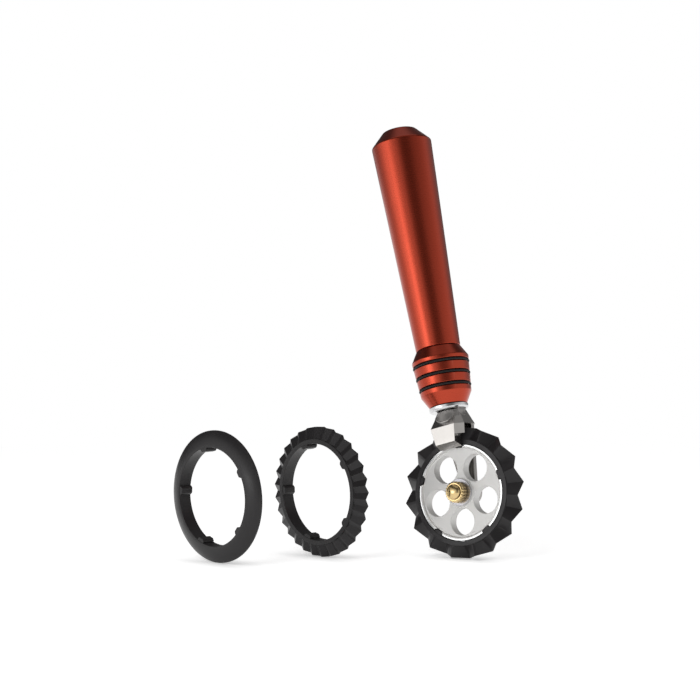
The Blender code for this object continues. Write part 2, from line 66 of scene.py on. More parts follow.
# The tool's own axes, from the wheel's joint and the hand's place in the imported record:
# x across the wheel, y along the axle from front to back, z up the handle, all from the wheel's middle
spin = next(joint for joint in frame["joints"] if joint["name"] == "wheel_spin")
grip = next(mount for mount in frame["record"]["mounts"] if mount["name"] == "hand_grip")
axle_back = -Vector(spin["axis"]).normalized()
handle_up = Vector(grip["axis"]).normalized()
tool_place = Matrix((axle_back.cross(handle_up), axle_back, handle_up)).transposed().to_4x4()
tool_place.translation = Vector(spin["pos_m"])


def linear(hex_colour):
    """An sRGB hex colour as linear red, green, blue and alpha."""
    channels = [int(hex_colour[place:place + 2], 16) / 255 for place in (1, 3, 5)]
    return (*[c / 12.92 if c <= 0.04045 else ((c + 0.055) / 1.055) ** 2.4 for c in channels], 1.0)


def feed(tree, node, values):
    """Give a node's inputs their values. A plain value is set, and a socket is linked."""
    for name, value in values.items():
        if isinstance(value, bpy.types.NodeSocket):
            tree.links.new(value, node.inputs[name])
        else:
            node.inputs[name].default_value = value


def add_node(tree, kind, values=None, **settings):
    """Add a node with its settings, and feed its inputs."""
    made = tree.nodes.new(kind)
    for name, value in settings.items():
        setattr(made, name, value)
    feed(tree, made, values or {})
    return made


def new_material(name, place):
    """An empty material, with a piece's own axes to draw its patterns on."""
    made = bpy.data.materials.new(name)
    made.use_nodes = True
    tree = made.node_tree
    where = add_node(tree, "ShaderNodeTexCoord")
    axes = add_node(tree, "ShaderNodeMapping",
                    {"Vector": where.outputs["Object"], "Location": place.translation,
                     "Rotation": place.to_euler()}, vector_type='TEXTURE')
    return made, tree, tree.nodes["Principled BSDF"], axes.outputs["Vector"]


def evaluated_mesh(holder):
    """The mesh that an object's modifiers give, as plain data. The object itself is used up."""
    depsgraph = bpy.context.evaluated_depsgraph_get()
    mesh = bpy.data.meshes.new_from_object(holder.evaluated_get(depsgraph), depsgraph=depsgraph)
    bpy.data.objects.remove(holder, do_unlink=True)
    return mesh


def hold(name, data):
    """A new object in the scene that holds a mesh, a camera or a lamp."""
    made = bpy.data.objects.new(name, data)
    bpy.context.scene.collection.objects.link(made)
    return made


# Points nearer to each other than this are one point, and an edge that turns more than this is sharp
WELD = 0.003 * MM
SHARP_ANGLE = math.radians(32)


def welded(mesh):
    """The mesh without the slivers that cutting and easing leave along an edge."""
    body = bmesh.new()
    body.from_mesh(mesh)
    bmesh.ops.remove_doubles(body, verts=body.verts, dist=WELD)
    bmesh.ops.dissolve_degenerate(body, edges=body.edges, dist=WELD)
    body.to_mesh(mesh)
    body.free()
    return mesh


def finish_piece(name, mesh, place, material, body, node):
    """Put a finished mesh in its place on its body, in the stead of its CAD node."""
    mesh = welded(mesh)
    mesh.transform(place)
    mesh.materials.clear()
    mesh.materials.append(material)
    mesh.shade_smooth()
    mesh.set_sharp_from_angle(angle=SHARP_ANGLE)
    holder = hold(name, mesh)
    weighted = holder.modifiers.new("flat faces stay flat", 'WEIGHTED_NORMAL')
    weighted.keep_sharp = True
    made = hold(name, evaluated_mesh(holder))
    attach(made, body)
    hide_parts(node)


def plain_mesh(name, body):
    """A bmesh as mesh data, with its faces turned outward."""
    bmesh.ops.recalc_face_normals(body, faces=body.faces)
    mesh = bpy.data.meshes.new(name)
    body.to_mesh(mesh)
    body.free()
    return mesh


def skin(outlines):
    """A closed mesh stretched over a stack of outlines that have the same number of points."""
    body = bmesh.new()
    rings = [[body.verts.new(point) for point in outline] for outline in outlines]
    for low, high in zip(rings, rings[1:]):
        for index in range(len(low)):
            after = (index + 1) % len(low)
            body.faces.new((low[index], low[after], high[after], high[index]))
    body.faces.new(rings[0])
    body.faces.new(rings[-1])
    return plain_mesh("skin", body)


# The most that an eased corner takes of the lines on either side of it, and the steps that it is eased in
CORNER_SHARE = 0.45
CORNER_STEPS = 3


def softened(corners, size):
    """A closed outline of (radius, place) with each corner eased, apart from those on the axis."""
    points = [Vector(corner) for corner in corners]
    eased_points = []
    for index, corner in enumerate(points):
        if corner.x == 0:
            eased_points.append(corner)
            continue
        before = points[index - 1] - corner
        after = points[(index + 1) % len(points)] - corner
        start = corner + before.normalized() * min(size, before.length * CORNER_SHARE)
        end = corner + after.normalized() * min(size, after.length * CORNER_SHARE)
        for step in range(CORNER_STEPS + 1):
            share = step / CORNER_STEPS
            eased_points.append(start.lerp(corner, share).lerp(corner.lerp(end, share), share))
    return eased_points


def lathe(outline, segments, along):
    """Turn a closed outline of (radius, place) once round the axle, 'Y', or the handle, 'Z'."""
    turned = bmesh.new()
    rings = []
    for radius, place in outline:
        ring = []
        for index in range(segments if radius else 1):
            angle = FULL_TURN * index / segments
            x = radius * math.cos(angle)
            side = radius * math.sin(angle)
            ring.append(turned.verts.new((x, place, side) if along == 'Y' else (x, side, place)))
        rings.append(ring)
    for low, high in zip(rings, rings[1:] + rings[:1]):
        for index in range(segments):
            after = (index + 1) % segments
            corners = [low[index % len(low)], low[after % len(low)],
                       high[after % len(high)], high[index % len(high)]]
            corners = list(dict.fromkeys(corners))
            if len(corners) > 2:
                turned.faces.new(corners)
    return plain_mesh("turned", turned)


def joined(mesh, operation, other):
    """The mesh with another one added to it, or cut out of it."""
    holder = hold("piece", mesh)
    helper = hold("helper", other)
    boolean = holder.modifiers.new("other", 'BOOLEAN')
    boolean.operation = operation
    boolean.solver = 'EXACT'
    boolean.object = helper
    made = evaluated_mesh(holder)
    bpy.data.objects.remove(helper, do_unlink=True)
    return made


# Edges that turn more than this are rounded over
EASED_ANGLE = math.radians(24)


def eased(mesh, width, segments):
    """The mesh with its edges rounded over."""
    holder = hold("eased", mesh)
    bevel = holder.modifiers.new("edge", 'BEVEL')
    bevel.limit_method = 'ANGLE'
    bevel.angle_limit = EASED_ANGLE
    bevel.width = width
    bevel.segments = segments
    return evaluated_mesh(holder)


# Right half of each outline of the yoke, from front to back, in millimetres
YOKE_LEVELS = [(30.8, [(6.35, -8.9), (9.1, -4.2), (9.1, 5.4), (7.5, 8.0)]),
               (38.6, [(4.8, -2.4), (5.65, -0.95), (5.65, 5.34), (4.75, 6.8)])]
# Each outline of the guard: half its face, half its back, depth of its face, heights of face and back
GUARD_BACK = -4.2
GUARD_LEVELS = [(5.2, 5.8, -8.9, 22.8, 20.6), (5.55, 6.2, -8.9, 25.2, 25.2), (5.67, 8.42, -8.9, 26.1, 26.1),
                (6.35, 9.1, -8.9, 30.8, 30.8), (5.85, 8.6, -8.4, 31.3, 31.3)]
# Half the arm's width at each height, and its front, its back and the chamfer along its back edges
ARM_LEVELS = [(3.3, 0), (7.4, 30.8), (6.9, 31.3)]
ARM_FRONT = 4.9
ARM_BACK = 8.0
ARM_EDGE = 0.6
BOSS_RADIUS = 5.4
AXLE_HOLE = 2.3
AXLE_HOLE_EDGE = 0.3
NECK_STEPS = 96
NECK_TOP = 38.3
NECK_TOP_RADIUS = 5.8
NECK_EDGE = 0.25
FOOT_RADIUS = 7.3
FOOT_BAND = 0.7
FOOT_DEPTH = 1.5
STUD_BORE = 3.3
STUD_FLOOR = 32.3
STUD_HOLE_PAST = 1.0
CAST_EDGE = 0.25
# Faces that turn less than this from each other are one flat face
FLAT_ANGLE = math.radians(0.5)

yoke_outlines = []
for level, right in YOKE_LEVELS:
    left = [(-x, y) for x, y in reversed(right)]
    yoke_outlines.append([(x, y, level) for x, y in right + left])
guard_outlines = [[(-face, depth, front), (face, depth, front), (back, GUARD_BACK, rear),
                   (-back, GUARD_BACK, rear)] for face, back, depth, front, rear in GUARD_LEVELS]
arm_outlines = [[(-half, ARM_FRONT, level), (half, ARM_FRONT, level), (half, ARM_BACK - ARM_EDGE, level),
                 (half - ARM_EDGE, ARM_BACK, level), (ARM_EDGE - half, ARM_BACK, level),
                 (-half, ARM_BACK - ARM_EDGE, level)] for half, level in ARM_LEVELS]
fork_mesh = joined(joined(skin(yoke_outlines), 'UNION', skin(guard_outlines)), 'UNION', skin(arm_outlines))
shape = bmesh.new()
shape.from_mesh(fork_mesh)
bmesh.ops.dissolve_limit(shape, angle_limit=FLAT_ANGLE, verts=shape.verts, edges=shape.edges)
shape.to_mesh(fork_mesh)
shape.free()
fork_mesh = eased(fork_mesh, CAST_EDGE, segments=3)
boss_outline = [(0, ARM_FRONT), (BOSS_RADIUS, ARM_FRONT), (BOSS_RADIUS, ARM_BACK - ARM_EDGE),
                (BOSS_RADIUS - ARM_EDGE, ARM_BACK), (0, ARM_BACK)]
# The neck is a low cone. A narrow band round its foot follows the slopes of the yoke that it stands on, and
# stays under the neck's top at the back corners, where the yoke reaches past it.
slopes = []
highest_foot = NECK_TOP - FOOT_BAND - 2 * NECK_EDGE
low_outline, high_outline = [[Vector(point) for point in outline] for outline in yoke_outlines]
for index, corner in enumerate(low_outline):
    slopes.append((corner, (low_outline[index - 1] - corner).cross(high_outline[index] - corner)))
neck_lines = []
for step in range(NECK_STEPS):
    angle = FULL_TURN * step / NECK_STEPS
    way = Vector((math.sin(angle), -math.cos(angle), 0))
    foot = min(corner.z + (corner - FOOT_RADIUS * way).xy.dot(across.xy) / across.z
               for corner, across in slopes if across.z)
    foot = min(foot, highest_foot)
    profile = [(FOOT_RADIUS, foot - FOOT_DEPTH), (FOOT_RADIUS, foot + FOOT_BAND - NECK_EDGE),
               (FOOT_RADIUS - NECK_EDGE, foot + FOOT_BAND),
               (NECK_TOP_RADIUS + NECK_EDGE / 2, NECK_TOP - NECK_EDGE),
               (NECK_TOP_RADIUS, NECK_TOP - NECK_EDGE / 4), (NECK_TOP_RADIUS - NECK_EDGE, NECK_TOP)]
    neck_lines.append([radius * way + Vector((0, 0, height)) for radius, height in profile])
flared = AXLE_HOLE + 2 * AXLE_HOLE_EDGE
axle_hole = [(0, ARM_FRONT - AXLE_HOLE_EDGE), (flared, ARM_FRONT - AXLE_HOLE_EDGE),
             (AXLE_HOLE, ARM_FRONT + AXLE_HOLE_EDGE), (AXLE_HOLE, ARM_BACK - AXLE_HOLE_EDGE),
             (flared, ARM_BACK + AXLE_HOLE_EDGE), (0, ARM_BACK + AXLE_HOLE_EDGE)]
stud_hole_top = NECK_TOP + STUD_HOLE_PAST
stud_hole = [(0, STUD_FLOOR), (STUD_BORE, STUD_FLOOR), (STUD_BORE, stud_hole_top), (0, stud_hole_top)]
for operation, other in (('UNION', lathe(softened(boss_outline, CAST_EDGE), segments=72, along='Y')),
                         ('UNION', skin(list(zip(*neck_lines)))),
                         ('DIFFERENCE', lathe(axle_hole, segments=48, along='Y')),
                         ('DIFFERENCE', lathe(stud_hole, segments=48, along='Z'))):
    fork_mesh = joined(fork_mesh, operation, other)
fork_mesh.transform(Matrix.Scale(MM, 4))

# Bright nickel-chrome plate on a zinc casting: a mirror that is softened by the polishing of the casting,
# so it waves a little over a few millimetres and is duller in faint clouds. The neck is left satin, and
# the edges are rubbed bright.
WAVE = 3.5 * MM
CLOUD = 6 * MM
SATIN = 0.45
SATIN_BASE = 31.6 * MM
SATIN_RADIUS = (FOOT_RADIUS + 0.02) * MM


def worn_edges(tree, most):
    """How far outer edges are rubbed, by how sharply the surface bends there, up to the most given."""
    surface = add_node(tree, "ShaderNodeNewGeometry")
    rubbed = add_node(tree, "ShaderNodeMapRange", {"Value": surface.outputs["Pointiness"], "From Min": 0.53,
                                                  "From Max": 0.62, "To Max": most})
    return rubbed.outputs["Result"]


chrome, tree, shader, axes = new_material("nickel_chrome_plate", tool_place)
shader.inputs["Metallic"].default_value = 1.0
clouds = add_node(tree, "ShaderNodeTexNoise", {"Vector": axes, "Scale": 1 / CLOUD, "Detail": 3})
bright = add_node(tree, "ShaderNodeMapRange", {"Value": clouds.outputs["Fac"], "From Min": 0.35,
                                              "From Max": 0.7, "To Min": 0.13, "To Max": 0.24})
split = add_node(tree, "ShaderNodeSeparateXYZ", {"Vector": axes})
flat = add_node(tree, "ShaderNodeCombineXYZ", {"X": split.outputs["X"], "Y": split.outputs["Y"]})
out = add_node(tree, "ShaderNodeVectorMath", {0: flat.outputs[0]}, operation='LENGTH')
inside = add_node(tree, "ShaderNodeMath", {0: out.outputs["Value"], 1: SATIN_RADIUS}, operation='LESS_THAN')
above = add_node(tree, "ShaderNodeMath", {0: split.outputs["Z"], 1: SATIN_BASE}, operation='GREATER_THAN')
on_neck = add_node(tree, "ShaderNodeMath", {0: inside.outputs[0], 1: above.outputs[0]}, operation='MULTIPLY')
dulled = add_node(tree, "ShaderNodeMix", {0: on_neck.outputs[0], 2: bright.outputs["Result"], 3: SATIN},
                  data_type='FLOAT')
plate = add_node(tree, "ShaderNodeMix", {0: clouds.outputs["Fac"], 6: linear("#9c9996"),
                                        7: linear("#a9a6a3")}, data_type='RGBA')
tone = add_node(tree, "ShaderNodeMix", {0: worn_edges(tree, 0.5), 6: plate.outputs[2], 7: linear("#d6d3cf")},
                data_type='RGBA')
waves = add_node(tree, "ShaderNodeTexNoise", {"Vector": axes, "Scale": 1 / WAVE, "Detail": 2})
relief = add_node(tree, "ShaderNodeBump", {"Height": waves.outputs["Fac"], "Strength": 0.12,
                                          "Distance": 0.1 * MM})
feed(tree, shader, {"Base Color": tone.outputs[2], "Roughness": dulled.outputs[0],
                    "Normal": relief.outputs["Normal"]})
finish_piece("fork_casting", fork_mesh, tool_place, chrome, "tool", "fork")

# Neck flange: the thin turned washer between fork and collar, of polished steel. The stud that draws
# fork, collar and handle together runs through it and stays hidden.
FLANGE_BASE = 38.6 * MM
FLANGE_TOP = 40.7 * MM
FLANGE_RADIUS = 9.15 * MM
FLANGE_CHAMFER = 0.75 * MM
FLANGE_BORE = 3.3 * MM
FLANGE_EDGE = 0.15 * MM
flange_outline = [(FLANGE_BORE, FLANGE_BASE), (FLANGE_RADIUS - FLANGE_CHAMFER, FLANGE_BASE),
                  (FLANGE_RADIUS, FLANGE_BASE + FLANGE_CHAMFER), (FLANGE_RADIUS, FLANGE_TOP),
                  (FLANGE_BORE, FLANGE_TOP)]

# Polished stainless steel: bright, with the fine round lines that the lathe leaves.
LATHE_LINE = 0.25 * MM


def tool_lines(tree, distance, spacing, detail):
    """Fine, uneven lines that a cutting tool leaves, by the distance along its way."""
    spaced = add_node(tree, "ShaderNodeMath", {0: distance, 1: 1 / spacing}, operation='MULTIPLY')
    lines = add_node(tree, "ShaderNodeTexNoise", {"W": spaced.outputs[0], "Scale": 1.0, "Detail": detail},
                     noise_dimensions='1D')
    return lines.outputs["Fac"]


steel, tree, shader, axes = new_material("polished_stainless_steel", tool_place)
shader.inputs["Metallic"].default_value = 1.0
split = add_node(tree, "ShaderNodeSeparateXYZ", {"Vector": axes})
lines = tool_lines(tree, split.outputs["Z"], LATHE_LINE, detail=2)
dulled = add_node(tree, "ShaderNodeMapRange", {"Value": lines, "To Min": 0.1, "To Max": 0.24})
tone = add_node(tree, "ShaderNodeMix", {0: lines, 6: linear("#cfcfd0"), 7: linear("#dededf")},
                data_type='RGBA')
relief = add_node(tree, "ShaderNodeBump", {"Height": lines, "Strength": 0.1, "Distance": 0.02 * MM})
feed(tree, shader, {"Base Color": tone.outputs[2], "Roughness": dulled.outputs["Result"],
                    "Normal": relief.outputs["Normal"]})
flange_mesh = lathe(softened(flange_outline, FLANGE_EDGE), segments=120, along='Z')
finish_piece("neck_flange_turned", flange_mesh, tool_place, steel, "tool", "neck_flange")
frame["nodes"]["tie_stud"].data.materials.clear()
frame["nodes"]["tie_stud"].data.materials.append(steel)

# Collar: the grooved part of the grip under the handle, turned from the same bar and dyed with it.
# It has a cone down to the flange, three grooves for rubber rings and a flare up to the handle.
COLLAR_BASE = 41.0 * MM
COLLAR_LOW = 46.5 * MM
COLLAR_SHOULDER = 63.1 * MM
COLLAR_TOP = 68.1 * MM
COLLAR_END_RADIUS = 8.75 * MM
COLLAR_LOW_RADIUS = 11.82 * MM
COLLAR_TOP_RADIUS = 13.35 * MM
COLLAR_EDGE = 0.25 * MM
HANDLE_LOW_RADIUS = 10.45 * MM
RUBBER_RADIUS = 0.55 * MM
RUBBER_PROUD = 0.2 * MM
GROOVE_HALF = 0.85 * MM
GROOVE_HEIGHTS = [49.55 * MM, 55.05 * MM, 60.55 * MM]


def collar_radius(place):
    """The collar's radius at a height between its lower break and its shoulder."""
    share = (place - COLLAR_LOW) / (COLLAR_SHOULDER - COLLAR_LOW)
    return COLLAR_LOW_RADIUS + share * (COLLAR_TOP_RADIUS - COLLAR_LOW_RADIUS)


collar_outline = [(FLANGE_BORE, COLLAR_BASE), (COLLAR_END_RADIUS, COLLAR_BASE),
                  (COLLAR_LOW_RADIUS, COLLAR_LOW)]
for middle in GROOVE_HEIGHTS:
    low = middle - GROOVE_HALF
    high = middle + GROOVE_HALF
    floor = collar_radius(middle) + RUBBER_PROUD - RUBBER_RADIUS - GROOVE_HALF
    collar_outline += [(collar_radius(low), low), (floor, low), (floor, high), (collar_radius(high), high)]
collar_outline += [(COLLAR_TOP_RADIUS, COLLAR_SHOULDER), (HANDLE_LOW_RADIUS, COLLAR_TOP),
                   (FLANGE_BORE, COLLAR_TOP)]

# Red anodised aluminium: a clear dyed skin over a fine turned surface. It mirrors softly in its own colour,
# with close round lines from the lathe, drawn three times too coarse so that they show. The dye is uneven
# over a few centimetres and thin along the edges.
TURNED_LINE = 0.3 * MM
DYE_PATCH = 22 * MM
anodised, tree, shader, axes = new_material("red_anodised_aluminium", tool_place)
shader.inputs["Metallic"].default_value = 1.0
shader.inputs["Coat Weight"].default_value = 0.22
shader.inputs["Coat Roughness"].default_value = 0.25
shader.inputs["Coat IOR"].default_value = 1.6
split = add_node(tree, "ShaderNodeSeparateXYZ", {"Vector": axes})
lines = tool_lines(tree, split.outputs["Z"], TURNED_LINE, detail=3)
patches = add_node(tree, "ShaderNodeTexNoise", {"Vector": axes, "Scale": 1 / DYE_PATCH, "Detail": 4})
full_dye = add_node(tree, "ShaderNodeMix", {0: patches.outputs["Fac"], 6: linear("#aa3a23"),
                                           7: linear("#b24028")}, data_type='RGBA')
dye = add_node(tree, "ShaderNodeMix", {0: worn_edges(tree, 0.35), 6: full_dye.outputs[2],
                                      7: linear("#cf7a62")}, data_type='RGBA')
dulled = add_node(tree, "ShaderNodeMapRange", {"Value": lines, "From Min": 0.3, "From Max": 0.7,
                                              "To Min": 0.25, "To Max": 0.33})
relief = add_node(tree, "ShaderNodeBump", {"Height": lines, "Strength": 0.08, "Distance": 0.02 * MM})
feed(tree, shader, {"Base Color": dye.outputs[2], "Roughness": dulled.outputs["Result"],
                    "Normal": relief.outputs["Normal"]})
collar_mesh = lathe(softened(collar_outline, COLLAR_EDGE), segments=144, along='Z')
finish_piece("grip_collar_turned", collar_mesh, tool_place, anodised, "tool", "grip_collar")

# Rubber rings: three round-section rings that are rolled over the collar into its grooves.
# Black EPDM, matt from the mould, with a little dust.
RUBBER_GRAIN = 0.4 * MM
RUBBER_STEPS = 14
rubber, tree, shader, axes = new_material("black_epdm_rubber", tool_place)
grain = add_node(tree, "ShaderNodeTexNoise", {"Vector": axes, "Scale": 1 / RUBBER_GRAIN, "Detail": 4})
tone = add_node(tree, "ShaderNodeMix", {0: grain.outputs["Fac"], 6: linear("#0b0a0a"), 7: linear("#151314")},
                data_type='RGBA')
dulled = add_node(tree, "ShaderNodeMapRange", {"Value": grain.outputs["Fac"], "To Min": 0.6, "To Max": 0.85})
relief = add_node(tree, "ShaderNodeBump", {"Height": grain.outputs["Fac"], "Strength": 0.2,
                                          "Distance": 0.05 * MM})
feed(tree, shader, {"Base Color": tone.outputs[2], "Roughness": dulled.outputs["Result"],
                    "Normal": relief.outputs["Normal"]})
for number, middle in enumerate(GROOVE_HEIGHTS, start=1):
    centre = collar_radius(middle) + RUBBER_PROUD - RUBBER_RADIUS
    section = []
    for step in range(RUBBER_STEPS):
        angle = FULL_TURN * step / RUBBER_STEPS
        section.append((centre + RUBBER_RADIUS * math.cos(angle), middle + RUBBER_RADIUS * math.sin(angle)))
    finish_piece(f"rubber_ring_{number}", lathe(section, segments=120, along='Z'), tool_place, rubber, "tool",
                 f"grip_ring_{number}")

# Handle: a long tapered grip turned from aluminium bar, with a chamfered top end and a blind hole for the
# stud, then satin finished and dyed red.
HANDLE_BASE = 68.4 * MM
HANDLE_SHOULDER = 169.1 * MM
HANDLE_TOP = 175.9 * MM
HANDLE_TOP_RADIUS = 14.3 * MM
HANDLE_END_RADIUS = 8.0 * MM
HANDLE_EDGE = 0.5 * MM
HOLE_TOP = 92.7 * MM
handle_outline = [(FLANGE_BORE, HANDLE_BASE), (HANDLE_LOW_RADIUS, HANDLE_BASE),
                  (HANDLE_TOP_RADIUS, HANDLE_SHOULDER), (HANDLE_END_RADIUS, HANDLE_TOP), (0, HANDLE_TOP),
                  (0, HOLE_TOP), (FLANGE_BORE, HOLE_TOP)]
handle_mesh = lathe(softened(handle_outline, HANDLE_EDGE), segments=160, along='Z')
finish_piece("handle_turned", handle_mesh, tool_place, anodised, "tool", "handle_grip")

# Wheel disc: turned from aluminium with a raised rim and hub, five round holes to lighten it and five
# notches in its rim for the rings' lugs. Its bush is hidden behind the axle's washer.
WHEEL_ROLL = math.radians(9.0)
LUG_COUNT = 5
DISC_RADIUS = 22.0 * MM
DISC_HALF = 3.3 * MM
RIM_INSIDE = 20.7 * MM
WEB_HALF = 2.5 * MM
WEB_EDGE = 0.3 * MM
HUB_HALF = 3.5 * MM
HUB_RADIUS = 6.3 * MM
HUB_BORE = 4.6 * MM
DISC_EDGE = 0.2 * MM
HOLE_CIRCLE = 13.35 * MM
HOLE_RADIUS = 6.2 * MM
HOLE_EDGE = 0.18 * MM
NOTCH_INSIDE = 20.4 * MM
NOTCH_OUTSIDE = 23.1 * MM
NOTCH_HALF = 2.4 * MM
NOTCH_CORNER = 0.9 * MM
wheel_place = tool_place @ Matrix.Rotation(-WHEEL_ROLL, 4, 'Y')

# The node tree that sets one shape round the axle: a point for each, turned by its share of a full turn,
# then made real, welded where neighbours touch, and given its material.
round_tree = bpy.data.node_groups.new("set_round_the_axle", 'GeometryNodeTree')
for name, kind in (("One shape", "Geometry"), ("Count", "Int"), ("Weld", "Float"), ("Finish", "Material")):
    round_tree.interface.new_socket(name, in_out='INPUT', socket_type="NodeSocket" + kind)
round_tree.interface.new_socket("All round", in_out='OUTPUT', socket_type="NodeSocketGeometry")
given = add_node(round_tree, "NodeGroupInput")
spots = add_node(round_tree, "GeometryNodePoints", {"Count": given.outputs["Count"]})
number = add_node(round_tree, "GeometryNodeInputIndex")
pitch = add_node(round_tree, "ShaderNodeMath", {0: -FULL_TURN, 1: given.outputs["Count"]}, operation='DIVIDE')
angle_on = add_node(round_tree, "ShaderNodeMath", {0: number.outputs[0], 1: pitch.outputs[0]},
                    operation='MULTIPLY')
turn = add_node(round_tree, "ShaderNodeCombineXYZ", {"Y": angle_on.outputs[0]})
facing = add_node(round_tree, "FunctionNodeEulerToRotation", {0: turn.outputs[0]})
copies = add_node(round_tree, "GeometryNodeInstanceOnPoints",
                  {"Points": spots.outputs[0], "Instance": given.outputs["One shape"],
                   "Rotation": facing.outputs[0]})
real = add_node(round_tree, "GeometryNodeRealizeInstances", {"Geometry": copies.outputs[0]})
merged = add_node(round_tree, "GeometryNodeMergeByDistance",
                  {"Geometry": real.outputs[0], "Distance": given.outputs["Weld"]})
dressed = add_node(round_tree, "GeometryNodeSetMaterial",
                   {"Geometry": merged.outputs[0], "Material": given.outputs["Finish"]})
add_node(round_tree, "NodeGroupOutput", {0: dressed.outputs[0]})


def set_round(one, count, finish):
    """One shape's mesh, set round the axle as often as asked."""
    holder = hold("one_shape", one)
    pattern = holder.modifiers.new("round", 'NODES')
    pattern.node_group = round_tree
    sizes = {"Count": count, "Weld": WELD, "Finish": finish}
    for item in round_tree.interface.items_tree:
        if item.name in sizes:
            pattern[item.identifier] = sizes[item.name]
    body = bmesh.new()
    body.from_mesh(evaluated_mesh(holder))
    return plain_mesh("all_round", body)


def key_block(inside, outside, half, corner, end):
    """A block along the axle with its inner corners cut off: the shape of a lug, and of the notch for it."""
    outline = [(outside, -half), (outside, half), (inside + corner, half), (inside, half - corner),
               (inside, corner - half), (inside + corner, -half)]
    return skin([[(x, place, z) for x, z in outline] for place in (-end, end)])


front_outline = [(HUB_BORE, -HUB_HALF), (HUB_RADIUS, -HUB_HALF), (HUB_RADIUS + WEB_EDGE, -WEB_HALF),
                 (RIM_INSIDE - WEB_EDGE, -WEB_HALF), (RIM_INSIDE, -DISC_HALF), (DISC_RADIUS, -DISC_HALF)]
back_outline = [(radius, -place) for radius, place in reversed(front_outline)]
disc_mesh = lathe(softened(front_outline + back_outline, DISC_EDGE), segments=180, along='Y')
flare = WEB_HALF + HOLE_EDGE
hole_outline = [(0, -flare), (HOLE_RADIUS + 2 * HOLE_EDGE, -flare), (HOLE_RADIUS, -WEB_HALF + HOLE_EDGE),
                (HOLE_RADIUS, WEB_HALF - HOLE_EDGE), (HOLE_RADIUS + 2 * HOLE_EDGE, flare), (0, flare)]
hole = lathe(hole_outline, segments=72, along='Y')
half_pitch = math.pi / LUG_COUNT
hole.transform(Matrix.Translation((HOLE_CIRCLE * math.cos(half_pitch), 0,
                                   HOLE_CIRCLE * math.sin(half_pitch))))
notch = key_block(NOTCH_INSIDE, NOTCH_OUTSIDE, NOTCH_HALF, NOTCH_CORNER, end=2 * DISC_HALF)

# Turned aluminium, left bare: pale and satin on the web, with round tool lines every few tenths of a
# millimetre, and brighter on the rim, which is skimmed last and polished by the rings.
TOOL_LINE = 0.35 * MM
POLISH_START = 21.2 * MM
POLISH_FULL = 21.4 * MM
RIM_ROUGH = 0.22
aluminium, tree, shader, axes = new_material("turned_aluminium", wheel_place)
shader.inputs["Metallic"].default_value = 0.7
split = add_node(tree, "ShaderNodeSeparateXYZ", {"Vector": axes})
flat = add_node(tree, "ShaderNodeCombineXYZ", {"X": split.outputs["X"], "Z": split.outputs["Z"]})
out = add_node(tree, "ShaderNodeVectorMath", {0: flat.outputs[0]}, operation='LENGTH')
lines = tool_lines(tree, out.outputs["Value"], TOOL_LINE, detail=2)
on_rim = add_node(tree, "ShaderNodeMapRange", {"Value": out.outputs["Value"], "From Min": POLISH_START,
                                              "From Max": POLISH_FULL})
satin = add_node(tree, "ShaderNodeMapRange", {"Value": lines, "To Min": 0.52, "To Max": 0.66})
dulled = add_node(tree, "ShaderNodeMix", {0: on_rim.outputs["Result"], 2: satin.outputs["Result"],
                                         3: RIM_ROUGH}, data_type='FLOAT')
web_tone = add_node(tree, "ShaderNodeMix", {0: lines, 6: linear("#e2e1df"), 7: linear("#ebeae8")},
                    data_type='RGBA')
tone = add_node(tree, "ShaderNodeMix", {0: on_rim.outputs["Result"], 6: web_tone.outputs[2],
                                       7: linear("#e8e8e8")}, data_type='RGBA')
relief = add_node(tree, "ShaderNodeBump", {"Height": lines, "Strength": 0.12, "Distance": 0.02 * MM})
feed(tree, shader, {"Base Color": tone.outputs[2], "Roughness": dulled.outputs[0],
                    "Normal": relief.outputs["Normal"]})
disc_mesh = joined(disc_mesh, 'DIFFERENCE', set_round(hole, LUG_COUNT, aluminium))
disc_mesh = joined(disc_mesh, 'DIFFERENCE', set_round(notch, LUG_COUNT, aluminium))
finish_piece("wheel_disc_turned", disc_mesh, wheel_place, aluminium, "wheel",
             "wheel_disc")

# Bush in the hub: the plain bearing that the wheel turns on, turned from natural acetal and pressed into
# the disc. The washers hide it, so it keeps its plain shape and gets a finer material.
ACETAL_GRAIN = 0.5 * MM
acetal, tree, shader, axes = new_material("natural_acetal", wheel_place)
grain = add_node(tree, "ShaderNodeTexNoise", {"Vector": axes, "Scale": 1 / ACETAL_GRAIN, "Detail": 3})
tone = add_node(tree, "ShaderNodeMix", {0: grain.outputs["Fac"], 6: linear("#d8d3c4"), 7: linear("#e6e2d6")},
                data_type='RGBA')
dulled = add_node(tree, "ShaderNodeMapRange", {"Value": grain.outputs["Fac"], "To Min": 0.4, "To Max": 0.55})
feed(tree, shader, {"Base Color": tone.outputs[2], "Roughness": dulled.outputs["Result"]})
frame["nodes"]["hub_bush"].data.materials.clear()
frame["nodes"]["hub_bush"].data.materials.append(acetal)

# Zigzag ring: the cutter that is fitted on the disc, moulded in black nylon. Its edge keeps one radius and
# swings from front to back, so flutes run from the lip to the edge, with small flat lands between them.
RING_HALF = 3.4 * MM
RING_BORE = 22.3 * MM
RING_RADIUS = 30.0 * MM
RING_LIP = 24.4 * MM
EDGE_HALF = 0.3 * MM
LAND_DROP = 0.3 * MM
FLUTE_DROP = 1.2 * MM
MOULD_EDGE = 0.22 * MM
LUG_INSIDE = 20.7 * MM
LUG_OUTSIDE = 23.1 * MM
LUG_HALF = 2.1 * MM
LUG_CORNER = 0.9 * MM
LUG_END = 3.2 * MM


def wheel_point(radius, angle, place):
    """A point at a radius and an angle round the axle, and a place along it."""
    return Vector((radius * math.cos(angle), place, radius * math.sin(angle)))


